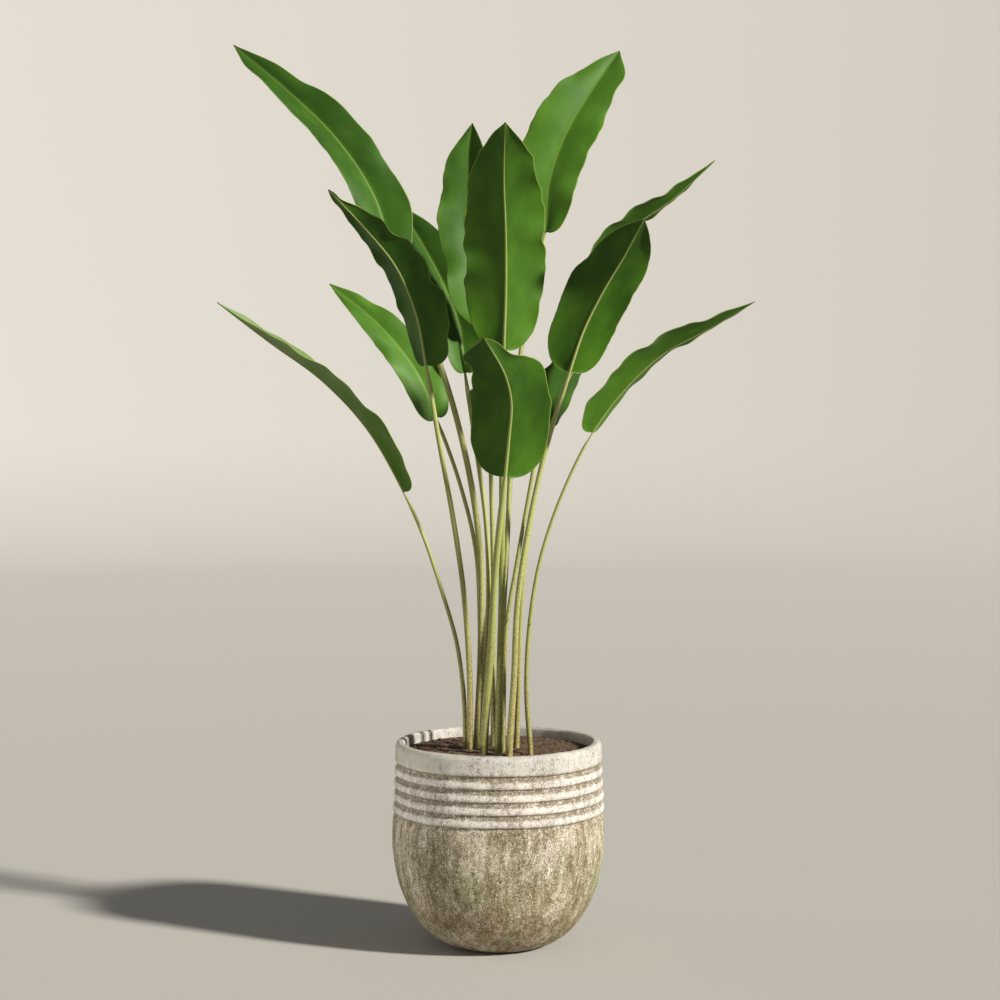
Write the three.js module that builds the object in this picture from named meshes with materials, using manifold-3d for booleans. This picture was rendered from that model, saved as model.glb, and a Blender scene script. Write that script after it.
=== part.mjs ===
// A bird of paradise plant with thirteen long-stalked leaves, standing in the soil of a
// round cast-stone planter. Millimetres, +Z up, the front towards -Y. The origin is the
// middle of the pot's flat foot, which stands on the ground.
import * as THREE from "three";
import { mergeVertices } from "three/addons/utils/BufferGeometryUtils.js";
import Module from "manifold-3d";

// ---------------------------------------------------------------- driving dimensions
const GAP = 0.3; // clearance between two pieces that touch

// Pot: a belly that is a quarter of an ellipse, four saw-tooth rings and a rim band.
const POT_SIDES = 36;
const POT_HEIGHT = 350;
const FOOT_RADIUS = 72;
const BELLY_CENTRE_RADIUS = 62; // where the belly's quarter ellipse is centred
const BELLY_BULGE = 119; // from there out to the widest place
const BELLY_RISE = 185; // height of the widest place
const RING_COUNT = 4;
const RING_PITCH = 21.3;
const LOWEST_LIP = 232.5; // height of the lowest ring's lip
const LOWEST_LIP_RADIUS = 180;
const LIP_STEP = 0.8; // each lip is this much smaller in radius than the one below
const RIM_LIP = LOWEST_LIP + RING_COUNT * RING_PITCH;
const RIM_LIP_RADIUS = LOWEST_LIP_RADIUS - RING_COUNT * LIP_STEP;
// Steps of a ring and of the rim band: out from the lip's radius, up from its height.
const RING_STEPS = [[-4.8, -3.2], [-0.9, 0], [0, 3], [-1.2, 9], [-4.4, 13]];
const RIM_STEPS = [[-4.8, -3.2], [-0.9, 0], [0, 3], [-0.8, 14], [-1.4, 25]];

// Cavity: straight upper wall, then a smaller ellipse down to the floor.
const MOUTH_RADIUS = 158.5;
const FLOOR_HEIGHT = 22;
const FLOOR_RADIUS = 48;

// Soil: lightly mounded and lumpy, cut by the hole of each stalk.
const SOIL_EDGE = 333;
const SOIL_MOUND = 4; // how much higher the middle is
const SOIL_LUMP = 1.5;
const SOIL_RINGS = [0, 26, 52, 78, 104, 130];
const STALK_BURIED = 48; // length of stalk below the soil
const HOLE_GROWTH = 0.4; // radius of a hole less the stalk's

// Leaf blades and stalks.
const BLADE_THICKNESS = 1;
const BLADE_ROWS = 20;
const ROW_CROWDING = 1.25; // rows stand closer together near the base
const BLADE_FRACTIONS = [0.5, 1]; // columns between the midrib strip and the margin
const STRIP_MARGIN = 0.8; // flat strip of blade that overhangs the midrib
const NARROWEST_SIDE = 2.2; // least width of blade beside the midrib, near the tip
const STALK_SIDES = 6;
const STALK_STEPS = 9;
const STALK_TAPER = 0.8; // below 1 the stalk thins sooner
const FLATTENING = 34; // length over which the stalk's upper side flattens
const FLATTENING_STEPS = 3;
const FLAT_TOP = 0.05; // height of the midrib's upper side
const RIB_SHARE = 0.62; // half-width of the midrib's base as a part of the stalk's radius
const RIB_TIP = 0.8; // half-width of the midrib at the blade's tip
const RIB_DEPTH = 0.62; // depth of the midrib as a part of its width
const HOLE_ABOVE = 25; // how far the tool that cuts a stalk's hole stands above the soil
const SPAN_DIVISIONS = 60; // pieces in which each span of a leaf's line is measured

// Each leaf: the foot's place on the soil, points along the stalk, the blade's base and
// points along its midrib to the tip. `half` is the widest half-width. `turn` is the angle
// of the upper face about the midrib, from facing the front, at the base and at the tip.
// `fold` lifts each half of the blade towards the upper face. `radius` is the stalk's, at
// the top and at the foot. `waves` is the number of undulations, `swell` their height.
// `flares` are single bulges of the margin: side, place, height and spread.
const LEAVES = {
  top_left: {
    foot: [-37, -5], radius: [4.5, 6.2],
    stalk: [[-30, -6, 501], [-31, -10, 672], [-55, -16, 835], [-101, -22, 999]],
    base: [-173, -18, 1162], blade: [[-209, 8, 1272], [-274, 42, 1369], [-360, 86, 1453]],
    tip: [-455, 140, 1533], half: 49, widest: 0.22, taper: 2.4, turn: [24, 30], fold: 20,
    waves: 2.5, swell: 5, phase: 4.2,
    flares: [[-1, 0.45, -10, 0.22], [-1, 0.91, 7, 0.06]],
  },
  top_right: {
    foot: [-2, -20], radius: [3.8, 5.2],
    stalk: [[6, -24, 525], [15, -12, 697], [24, 20, 868], [43, 64, 1040]],
    base: [80, 110, 1213], blade: [[88, 140, 1299], [116, 170, 1381], [161, 205, 1457]],
    tip: [212, 240, 1531], half: 61, widest: 0.54, taper: 1.8, turn: [-14, -10], fold: 12,
    waves: 2.7, swell: 5, phase: 4.3,
    flares: [[1, 0.9, 15, 0.07], [1, 0.5, -7, 0.35], [-1, 0.4, 6, 0.12]],
  },
  front_centre: {
    foot: [-1, -66], radius: [4.4, 6.4],
    stalk: [[3, -69, 502], [6, -68, 641], [6, -86, 801]],
    base: [9, -150, 1017], blade: [[12, -160, 1110], [12, -177, 1203], [9, -214, 1293]],
    tip: [11, -290, 1379], half: 70, widest: 0.39, taper: 2.6, turn: [188, 176], fold: 21,
    waves: 4.1, swell: 5, phase: 0.8,
  },
  back_centre: {
    foot: [-9, 20], radius: [3.6, 4.8],
    stalk: [[-9, 24, 490], [-9, 30, 650], [-14, 38, 850]],
    base: [-19, 50, 1055], blade: [[-37, 66, 1141], [-55, 78, 1228], [-50, 80, 1314]],
    tip: [-44, 74, 1397], half: 50, widest: 0.24, taper: 4.2, turn: [4, -10], fold: 20,
    waves: 3.5, swell: 4, phase: 4.2,
    flares: [[-1, 0.15, 9, 0.08], [-1, 0.82, 5, 0.08]],
  },
  front_left: {
    foot: [-48, -15], radius: [3.8, 5.5],
    stalk: [[-49, -18, 470], [-58, -25, 601], [-76, -35, 731], [-99, -46, 861]],
    base: [-120, -60, 989], blade: [[-136, -74, 1074], [-168, -96, 1152], [-220, -130, 1218]],
    tip: [-275, -172, 1277], half: 54, widest: 0.28, taper: 1.5, turn: [138, 145], fold: 22,
    waves: 4.1, swell: 5, phase: 2.1,
    flares: [[-1, 0.93, -4, 0.05], [1, 0.93, 6, 0.06]],
  },
  back_left: {
    foot: [-32, 30], radius: [3.8, 5],
    stalk: [[-26, 33, 458], [-17, 39, 587], [-21, 48, 716], [-38, 58, 844]],
    base: [-57, 70, 973], blade: [[-67, 95, 1052], [-94, 120, 1122], [-130, 150, 1190]],
    tip: [-174, 180, 1262], half: 49, widest: 0.48, taper: 2.1, turn: [20, 18], fold: 22,
    waves: 2.7, swell: 4, phase: 0,
  },
  low_back_left: {
    foot: [-35, 60], radius: [3.2, 4.6],
    stalk: [[-33, 60, 428], [-32, 61, 545], [-39, 61, 670], [-67, 60, 787]],
    base: [-106, 60, 896], blade: [[-135, 64, 966], [-179, 72, 1027], [-232, 84, 1079]],
    tip: [-290, 100, 1124], half: 36.5, widest: 0.23, taper: 2.6, turn: [26, 28], fold: 8,
    waves: 2.7, swell: 4, phase: 3.1,
  },
  far_left: {
    foot: [-56, 0], radius: [2.9, 4.3],
    stalk: [[-59, -2, 429], [-71, -7, 519], [-96, -13, 608], [-125, -21, 697]],
    base: [-159, -29, 776], blade: [[-219, -40, 882], [-293, -50, 963], [-380, -65, 1028]],
    tip: [-466, -80, 1094], half: 45, widest: 0.3, taper: 2.5, turn: [110, 82], fold: 26,
    waves: 3.9, swell: 2.5, phase: 3,
  },
  front_low: {
    foot: [-25, -55], radius: [5, 7.6],
    stalk: [[-19, -64, 434], [-12, -82, 529], [-7, -103, 624], [1, -128, 717]],
    base: [11, -155, 810], blade: [[17, -180, 873], [21, -212, 931], [11, -262, 980]],
    tip: [-22, -335, 1041], half: 70, widest: 0.3, taper: 2.6, turn: [180, 180], fold: 22,
    waves: 2.1, swell: 5, phase: 7.5,
    flares: [[1, 0.89, 22, 0.075], [-1, 0.78, -18, 0.13]],
  },
  front_right: {
    foot: [18, -80], radius: [4, 6],
    stalk: [[26, -84, 467], [32, -86, 596], [51, -86, 725], [79, -90, 853]],
    base: [117, -134, 982], blade: [[139, -144, 1048], [169, -160, 1110], [203, -190, 1169]],
    tip: [233, -238, 1228], half: 57, widest: 0.32, taper: 3.3, turn: [190, 190], fold: 22,
    waves: 1.8, swell: 5, phase: 7.8,
  },
  back_right: {
    foot: [8, -46], radius: [3.2, 3.9],
    stalk: [[10, -40, 468], [15, -32, 560], [30, -26, 649], [49, -18, 757], [80, -8, 910]],
    base: [145, 6, 1090], blade: [[181, -5, 1173], [225, -20, 1220], [288, -40, 1264]],
    tip: [359, -60, 1328], half: 37, widest: 0.4, taper: 1.7, turn: [238, 248], fold: 17,
    waves: 4.4, swell: 2.5, phase: 3,
  },
  far_right: {
    foot: [54, -60], radius: [2.3, 4.9],
    stalk: [[47, -64, 447], [52, -72, 556], [69, -82, 664], [104, -95, 773]],
    base: [155, -110, 880], blade: [[206, -130, 951], [269, -150, 1011], [343, -175, 1053]],
    tip: [414, -200, 1096], half: 48, widest: 0.24, taper: 2.3, turn: [240, 247], fold: 17,
    waves: 3.8, swell: 2.5, phase: 3.8,
  },
  inner_right: {
    foot: [31, 0], radius: [3, 5],
    stalk: [[34, -6, 448], [37, -16, 558], [45, -26, 661], [60, -38, 758]],
    base: [87, -52, 890], blade: [[102, -47, 932], [122, -42, 975], [148, -37, 1026]],
    tip: [177, -32, 1078], half: 50, widest: 0.4, taper: 1.7, turn: [228, 228], fold: 20,
    waves: 3, swell: 4, phase: 1.2,
  },
};

// Outline of a blade: a rounded base up to its widest place, then a long taper to the tip.
const BASE_ROUNDNESS = 2.5;
const BASE_LOBE = 12; // the lobes reach back past the top of the stalk
const EDGE_WAVE = 0.045; // in-plane waviness of the margin, as a part of the half-width
const SWELL_REACH = 2.5; // the higher, the more the swelling keeps to the margin
const NARROW = 20; // where a side is narrower than this, it swells less
const LONG_WAVE = 0.72;
const SHORT_WAVE = 0.45;
const SHORT_WAVE_RATE = 1.83; // short waves to each long one

// ------------------------------------------------------------------------- materials
const stone = new THREE.MeshStandardMaterial({ color: "#b5a98e", roughness: 0.9 });
const earth = new THREE.MeshStandardMaterial({ color: "#45342a", roughness: 1 });
const leafGreen = new THREE.MeshStandardMaterial({ color: "#3f7a2a", roughness: 0.42 });
const stalkGreen = new THREE.MeshStandardMaterial({ color: "#a4ad62", roughness: 0.5 });

// --------------------------------------------------------------------------- helpers
const { lerp, smoothstep, degToRad } = THREE.MathUtils;
const wasm = await Module();
wasm.setup();

function meshFrom(points, faces) {
  const geometry = new THREE.BufferGeometry();
  geometry.setAttribute("position", new THREE.Float32BufferAttribute(points.flat(), 3));
  geometry.setIndex(faces.flat());
  return geometry;
}

function toManifold(geometry) {
  const bare = geometry.clone();
  bare.deleteAttribute("normal");
  bare.deleteAttribute("uv");
  const merged = mergeVertices(bare, 1e-4);
  return new wasm.Manifold(new wasm.Mesh({
    numProp: 3,
    vertProperties: merged.attributes.position.array,
    triVerts: Uint32Array.from(merged.index.array),
  }));
}

function fromManifold(solid) {
  const mesh = solid.getMesh();
  const geometry = new THREE.BufferGeometry();
  geometry.setAttribute("position", new THREE.BufferAttribute(mesh.vertProperties, 3));
  geometry.setIndex(new THREE.BufferAttribute(mesh.triVerts, 1));
  return geometry;
}

function latheAboutZ(profile, sides) {
  const geometry = new THREE.LatheGeometry(profile, sides);
  geometry.rotateX(Math.PI / 2); // the profile's height becomes Z
  return geometry;
}

// A quarter ellipse from the floor outwards and up, as points of a lathe profile.
function bowl(centreRadius, bulge, floor, rise, fromDegrees, toDegrees, steps) {
  return Array.from({ length: steps + 1 }, (_, i) => {
    const angle = degToRad(lerp(fromDegrees, toDegrees, i / steps));
    const radius = centreRadius + bulge * Math.sin(angle);
    return new THREE.Vector2(radius, floor + rise * (1 - Math.cos(angle)));
  });
}

// ------------------------------------------------------------------------------- pot
function stepped(steps, lipRadius, lipHeight) {
  return steps.map(([out, up]) => new THREE.Vector2(lipRadius + out, lipHeight + up));
}

function rimProfile() {
  return [
    ...stepped(RIM_STEPS, RIM_LIP_RADIUS, RIM_LIP),
    new THREE.Vector2(RIM_LIP_RADIUS - 4, POT_HEIGHT - 2.2),
    new THREE.Vector2(RIM_LIP_RADIUS - 8, POT_HEIGHT),
    new THREE.Vector2(MOUTH_RADIUS + 4, POT_HEIGHT),
    new THREE.Vector2(MOUTH_RADIUS + 0.5, POT_HEIGHT - 3.5),
    new THREE.Vector2(MOUTH_RADIUS, POT_HEIGHT - 9),
  ];
}

function cavityProfile(clearance) {
  const centre = FLOOR_RADIUS - clearance;
  const floor = FLOOR_HEIGHT + clearance;
  const bulge = MOUTH_RADIUS - FLOOR_RADIUS;
  return bowl(centre, bulge, floor, BELLY_RISE - FLOOR_HEIGHT, 0, 90, 6);
}

function buildPot() {
  const profile = [new THREE.Vector2(0, 0), new THREE.Vector2(FOOT_RADIUS, 0)];
  profile.push(...bowl(BELLY_CENTRE_RADIUS, BELLY_BULGE, 0, BELLY_RISE, 9, 102, 10));
  for (let ring = 0; ring < RING_COUNT; ring += 1) {
    const radius = LOWEST_LIP_RADIUS - ring * LIP_STEP;
    profile.push(...stepped(RING_STEPS, radius, LOWEST_LIP + ring * RING_PITCH));
  }
  profile.push(...rimProfile(), ...cavityProfile(0).reverse());
  profile.push(new THREE.Vector2(0, FLOOR_HEIGHT));
  return latheAboutZ(profile, POT_SIDES);
}

// ------------------------------------------------------------------------------ soil
function soilHeight(x, y) {
  const spread = Math.min(1, Math.hypot(x, y) / MOUTH_RADIUS);
  const mound = SOIL_MOUND * (1 - spread * spread);
  const lumps = Math.sin(x * 0.071 + 1) * Math.sin(y * 0.083) + Math.sin(x * 0.12 - y * 0.1);
  return SOIL_EDGE + mound + SOIL_LUMP * lumps * 0.5 * (1 - spread ** 6);
}

function buildSoil(holes) {
  const side = cavityProfile(GAP);
  const rim = new THREE.Vector2(MOUTH_RADIUS - GAP, SOIL_EDGE);
  const top = SOIL_RINGS.map((radius) => new THREE.Vector2(radius, SOIL_EDGE)).reverse();
  const floor = new THREE.Vector2(0, FLOOR_HEIGHT + GAP);
  const geometry = latheAboutZ([floor, ...side, rim, ...top], POT_SIDES);
  const place = geometry.attributes.position;
  for (let i = 0; i < place.count; i += 1) {
    if (Math.abs(place.getZ(i) - SOIL_EDGE) < 1e-3) {
      const height = soilHeight(place.getX(i), place.getY(i));
      place.setZ(i, height);
    }
  }
  return fromManifold(holes.reduce((soil, hole) => soil.subtract(hole), toManifold(geometry)));
}

// ---------------------------------------------------------------------------- leaves
// The line of a leaf runs from the buried end of the stalk, up to the blade's base and on
// along the midrib to the tip. It is read by arc length.
function leafLine(leaf) {
  const [x, y] = leaf.foot;
  const ground = soilHeight(x, y);
  const before = [[x, y, ground - STALK_BURIED], [x, y, ground], ...leaf.stalk];
  const points = [...before, leaf.base, ...leaf.blade, leaf.tip];
  const curve = new THREE.CatmullRomCurve3(points.map((p) => new THREE.Vector3(...p)));
  curve.arcLengthDivisions = SPAN_DIVISIONS * (points.length - 1);
  const lengths = curve.getLengths();
  const total = lengths[lengths.length - 1];
  return {
    curve,
    total,
    groundLength: lengths[SPAN_DIVISIONS],
    baseLength: lengths[SPAN_DIVISIONS * before.length],
  };
}

// The leaf's own directions at a distance along its line: along, up out of the upper face,
// and across.
function leafFrame(leaf, line, distance) {
  const share = distance / line.total;
  const along = line.curve.getTangentAt(share);
  const onBlade = Math.max(0, (distance - line.baseLength) / (line.total - line.baseLength));
  const turn = degToRad(lerp(leaf.turn[0], leaf.turn[1], onBlade));
  const front = new THREE.Vector3(0, -1, 0);
  const up = front.addScaledVector(along, -front.dot(along)).normalize();
  up.applyAxisAngle(along, turn);
  const across = new THREE.Vector3().crossVectors(along, up);
  return { at: line.curve.getPointAt(share), along, up, across };
}

function rowShare(row) {
  return (row / BLADE_ROWS) ** ROW_CROWDING;
}

function ribHalfWidth(leaf, share) {
  return lerp(leaf.radius[0] * RIB_SHARE, RIB_TIP, share);
}

// Half-width of the blade at a share of its length, without waves.
function bladeHalfWidth(leaf, share, side) {
  const rise = Math.max(0, 1 - share / leaf.widest);
  const fall = Math.max(0, (share - leaf.widest) / (1 - leaf.widest));
  const rounded = (1 - rise ** BASE_ROUNDNESS) ** (1 / BASE_ROUNDNESS);
  const bulges = (leaf.flares ?? []).filter(([flareSide]) => flareSide === side);
  const flare = bulges.reduce((sum, [, place, height, spread]) => (
    sum + height * Math.exp(-(((share - place) / spread) ** 2))), 0);
  return leaf.half * rounded * (1 - fall ** leaf.taper) + flare;
}

// The waving of one margin, from about -1 to 1. A long and a short wave run together, the
// two sides out of step, and both die away at the base and at the tip.
function marginWave(leaf, share, side) {
  const turn = Math.PI * 2 * leaf.waves * share;
  const long = Math.sin(turn + leaf.phase + side * 1.3);
  const short = Math.sin(SHORT_WAVE_RATE * turn + 2.3 * leaf.phase - side * 0.7);
  const calm = Math.sin(Math.PI * Math.min(1, share * 0.94 + 0.06)) ** 0.6;
  return (LONG_WAVE * long + SHORT_WAVE * short) * calm;
}

// A point of the blade's middle sheet: `share` along it, `fraction` across one side.
function bladePoint(leaf, line, share, side, fraction) {
  const distance = lerp(line.baseLength, line.total, share);
  const { at, along, up, across } = leafFrame(leaf, line, distance);
  const strip = ribHalfWidth(leaf, share) + STRIP_MARGIN;
  const ripple = marginWave(leaf, share, side);
  const reach = bladeHalfWidth(leaf, share, side) * (1 + EDGE_WAVE * ripple);
  const out = Math.max(NARROWEST_SIDE, reach - strip) * fraction;
  const fold = degToRad(leaf.fold);
  const swell = leaf.swell * ripple * fraction ** SWELL_REACH * Math.min(1, reach / NARROW);
  const back = BASE_LOBE * fraction * Math.max(0, 1 - share / leaf.widest) ** 2;
  const lobe = back * Math.min(1, reach / leaf.half);
  return at
    .addScaledVector(across, side * (strip + out * Math.cos(fold)))
    .addScaledVector(up, GAP + BLADE_THICKNESS / 2 + out * Math.sin(fold) + swell)
    .addScaledVector(along, -lobe);
}

function buildBlade(leaf) {
  const line = leafLine(leaf);
  const columns = [
    ...BLADE_FRACTIONS.map((f) => [-1, f]).reverse(), [-1, 0], [1, 0],
    ...BLADE_FRACTIONS.map((f) => [1, f]),
  ];
  const wide = columns.length;
  const points = [];
  for (const face of [1, -1]) {
    for (let row = 0; row <= BLADE_ROWS; row += 1) {
      const share = rowShare(row);
      const distance = lerp(line.baseLength, line.total, share);
      const { up } = leafFrame(leaf, line, distance);
      for (const [side, fraction] of columns) {
        const point = bladePoint(leaf, line, share, side, fraction);
        points.push(point.addScaledVector(up, (face * BLADE_THICKNESS) / 2).toArray());
      }
    }
  }
  const under = (BLADE_ROWS + 1) * wide; // first point of the lower face
  const faces = [];
  const quad = (a, b, c, d) => faces.push([a, b, c], [a, c, d]);
  for (let row = 0; row < BLADE_ROWS; row += 1) {
    for (let column = 0; column < wide - 1; column += 1) {
      const a = row * wide + column;
      quad(a, a + 1, a + 1 + wide, a + wide);
      faces.push([under + a, under + a + 1 + wide, under + a + 1]);
      faces.push([under + a, under + a + wide, under + a + 1 + wide]);
    }
    const left = row * wide;
    const right = left + wide - 1;
    quad(left, left + wide, under + left + wide, under + left);
    quad(right, under + right, under + right + wide, right + wide);
  }
  for (let column = 0; column < wide - 1; column += 1) {
    const end = BLADE_ROWS * wide + column;
    quad(column, under + column, under + column + 1, column + 1);
    quad(end, end + 1, under + end + 1, under + end);
  }
  return meshFrom(points, faces);
}

// The stalk is round. Over its last stretch the upper side flattens, and it runs on under
// the blade as a midrib with a flat top.
function stalkSection(leaf, line, distance, growth) {
  const onStalk = THREE.MathUtils.clamp(distance / line.baseLength, 0, 1);
  const onBlade = Math.max(0, (distance - line.baseLength) / (line.total - line.baseLength));
  const radius = lerp(leaf.radius[1], leaf.radius[0], onStalk ** STALK_TAPER);
  const flat = smoothstep(distance, line.baseLength - FLATTENING, line.baseLength);
  const half = lerp(radius, ribHalfWidth(leaf, onBlade), flat) + growth;
  return {
    half,
    upper: lerp(radius, FLAT_TOP, flat) + growth,
    lower: lerp(radius, ribHalfWidth(leaf, onBlade) * 2 * RIB_DEPTH, flat) + growth,
  };
}

function buildStalk(leaf, growth, distances) {
  const line = leafLine(leaf);
  const points = [];
  for (const distance of distances(line)) {
    const { at, up, across } = leafFrame(leaf, line, distance);
    const { half, upper, lower } = stalkSection(leaf, line, distance, growth);
    for (let corner = 0; corner < STALK_SIDES; corner += 1) {
      const angle = ((corner + 0.5) / STALK_SIDES) * Math.PI * 2;
      const lift = Math.sin(angle) * (Math.sin(angle) > 0 ? upper : lower);
      const point = at.clone().addScaledVector(across, Math.cos(angle) * half);
      points.push(point.addScaledVector(up, lift).toArray());
    }
  }
  const faces = [];
  const last = points.length - STALK_SIDES;
  for (let start = 0; start < last; start += STALK_SIDES) {
    for (let corner = 0; corner < STALK_SIDES; corner += 1) {
      const next = (corner + 1) % STALK_SIDES;
      const [a, b] = [start + corner, start + next];
      faces.push([a, b + STALK_SIDES, b], [a, a + STALK_SIDES, b + STALK_SIDES]);
    }
  }
  for (let corner = 1; corner < STALK_SIDES - 1; corner += 1) {
    faces.push([0, corner, corner + 1], [last, last + corner + 1, last + corner]);
  }
  return meshFrom(points, faces);
}

function evenly(count, from, to) {
  return Array.from({ length: count }, (_, step) => lerp(from, to, step / count));
}

// The stalk's sections: along the round stalk, over the flattening, and then at each row
// of the blade, so that the midrib and the blade bend alike.
function wholeStalk(line) {
  const bend = line.baseLength - FLATTENING;
  const rows = Array.from({ length: BLADE_ROWS }, (_, row) => rowShare(row));
  return [
    0,
    ...evenly(STALK_STEPS, line.groundLength, bend),
    ...evenly(FLATTENING_STEPS, bend, line.baseLength),
    ...rows.map((share) => lerp(line.baseLength, line.total, share)),
  ];
}

function holeReach(line) {
  return [0, line.groundLength, line.groundLength + HOLE_ABOVE];
}

// -------------------------------------------------------------------------- assembly
const plant = new THREE.Group();

function add(name, geometry, material) {
  const mesh = new THREE.Mesh(geometry, material.clone());
  mesh.name = name;
  plant.add(mesh);
}

const holes = Object.values(LEAVES).map((leaf) => {
  const hole = buildStalk(leaf, HOLE_GROWTH, holeReach);
  return toManifold(hole);
});
add("pot", buildPot(), stone);
add("soil", buildSoil(holes), earth);
for (const [name, leaf] of Object.entries(LEAVES)) {
  add(`stalk_${name}`, buildStalk(leaf, 0, wholeStalk), stalkGreen);
  add(`blade_${name}`, buildBlade(leaf), leafGreen);
}

export default plant;
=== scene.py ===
"""The looks of a potted bird of paradise: thirteen satin leaves on speckled stalks, standing
in dark soil in a weathered cast-stone planter. Sizes are millimetres in the tables and in
the forms, and become metres where a mesh is placed. The front faces -Y."""

import math
import random
from bisect import bisect_right
from types import SimpleNamespace

import bmesh
import bpy
from mathutils import Matrix, Vector, noise


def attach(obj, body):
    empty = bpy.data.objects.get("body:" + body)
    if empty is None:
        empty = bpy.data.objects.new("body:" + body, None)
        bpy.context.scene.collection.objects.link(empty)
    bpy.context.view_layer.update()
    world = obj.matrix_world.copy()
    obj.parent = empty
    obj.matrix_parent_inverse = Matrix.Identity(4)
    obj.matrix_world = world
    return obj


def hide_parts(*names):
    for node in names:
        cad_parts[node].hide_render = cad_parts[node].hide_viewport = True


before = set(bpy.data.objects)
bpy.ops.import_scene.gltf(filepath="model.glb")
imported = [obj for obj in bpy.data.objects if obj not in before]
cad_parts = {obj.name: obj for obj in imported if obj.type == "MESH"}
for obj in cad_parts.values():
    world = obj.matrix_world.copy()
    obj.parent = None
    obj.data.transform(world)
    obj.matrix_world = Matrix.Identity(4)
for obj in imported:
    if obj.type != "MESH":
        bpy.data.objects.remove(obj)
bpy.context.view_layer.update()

MM = 0.001  # metres
FRONT = Vector((0, -1, 0))
GAP = 0.3  # clearance between two pieces that touch

# ------------------------------------------------------------------------ driving sizes
# Pot, as the solid has it: a belly that is a quarter of an ellipse, four saw-tooth rings
# and a rim band.
POT_STEPS = 240  # around
POT_HEIGHT = 350
FOOT_RADIUS = 72
BELLY_CENTRE_RADIUS = 62  # where the belly's quarter ellipse is centred
BELLY_BULGE = 119  # from there out to the widest place
BELLY_RISE = 185  # height of the widest place
RING_COUNT = 4
RING_PITCH = 21.3
LOWEST_LIP = 232.5  # height of the lowest ring's lip
LOWEST_LIP_RADIUS = 180
LIP_STEP = 0.8  # each lip is this much smaller in radius than the one below
RIM_LIP = LOWEST_LIP + RING_COUNT * RING_PITCH
RIM_LIP_RADIUS = LOWEST_LIP_RADIUS - RING_COUNT * LIP_STEP
# Steps of a ring and of the rim band: out from the lip's radius, up from its height.
RING_STEPS = ((-4.8, -3.2), (-0.9, 0), (0, 3), (-1.2, 9), (-4.4, 13))
RIM_STEPS = ((-4.8, -3.2), (-0.9, 0), (0, 3), (-0.8, 14), (-1.4, 25))
WORN_CORNER = 0.9  # rounding of the outline's corners
LONGEST_STEP = 2.6  # longer pieces of the outline are halved
HALVINGS = 4  # how often this is done

# Cavity: straight upper wall, then a smaller ellipse down to the floor.
MOUTH_RADIUS = 158.5
FLOOR_HEIGHT = 22
FLOOR_RADIUS = 48

# Soil
SOIL_STEPS = 260  # around
SOIL_RINGS = 72
SOIL_EDGE = 333
SOIL_MOUND = 4  # how much higher the middle is
SOIL_LUMP = 1.5
CRUMB_COUNT = 1500
CRUMB_SIZES = (0.9, 3.3)  # radii of the smallest and the largest
STALK_BURIED = 48  # length of stalk below the soil

# Leaf blades
BLADE_THICKNESS = 1
BLADE_ROWS = 130
ROW_CROWDING = 1.25  # rows stand closer together near the base
STRIP_COLUMNS = 2
SIDE_COLUMNS = 13
COLUMN_CROWDING = 1.3  # columns stand closer together near the margin
STRIP_MARGIN = 0.8  # flat strip of blade that overhangs the midrib
STRIP_DIP = 0.35  # how far the middle of the strip sinks
NARROWEST_SIDE = 2.2  # least width of blade beside the midrib
POINT_SHARE = 0.03  # end of the blade in which it narrows to its point
POINT_STRIP = 0.25  # what is left of the strip at the point
POINT_SIDE = 0.1  # what is left of the narrowest side at the point
BASE_ROUNDNESS = 2.5
BASE_LOBE = 12  # the lobes reach back past the top of the stalk
EDGE_WAVE = 0.045  # in-plane waviness of the margin, as a part of the half-width
LONG_WAVE = 0.72
SHORT_WAVE = 0.45
SHORT_WAVE_RATE = 1.83  # short waves to each long one
NOTCH_RATE = 3.1  # notches of the margin to each long wave
NOTCH = 0.28
FINE_NOTCH = 0.5
SWELL_REACH = 2.5  # the higher, the more the swelling keeps to the margin
SWELL_WIDTH = 20  # where a side is narrower than this, it swells less
BOW = 2.2  # how far each half bows towards the upper face
BOW_WIDTH = 30  # where a side is narrower than this, it bows less
DARKENING = 0.5  # painted shade: how far the green tone falls from the base to the tip
DRY_TIP = 0.982  # from here on the tip is brown
LINE_WIDTH = 1.1  # half-width of the pale line along the middle of the faces
LINE_END = 0.88  # where that line has narrowed to nothing
LINE_NARROWING = 0.4  # length over which it narrows, as a part of the blade's
EDGE_LINE_WIDTH = 9  # where a side is narrower than this, its pale margin line fades

# Stalks, which run on as the raised midrib
STALK_SIDES = 20
STALK_STEPS = 70
STALK_TAPER = 0.8  # below 1 the stalk thins sooner
FLATTENING = 34  # length over which the stalk's upper side flattens
FLATTENING_STEPS = 8
RIB_STEPS = 50
RIB_SHARE = 0.62  # half-width of the midrib's base as a part of the stalk's radius
RIB_TIP = 0.8  # half-width of the midrib at the blade's tip
RIB_DEPTH = 0.62  # depth of the midrib as a part of its width
RIB_SHORT = 3  # the midrib ends this far before the tip
RIB_FADE = 0.16  # end of the midrib in which it sinks into the blade
RIB_POINT = 0.3  # what is left of the midrib's width at its end
SPAN_STEPS = 60  # pieces in which each span of a leaf's line is measured
FEEL = 2  # the line's direction is taken over this length to either side
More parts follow.
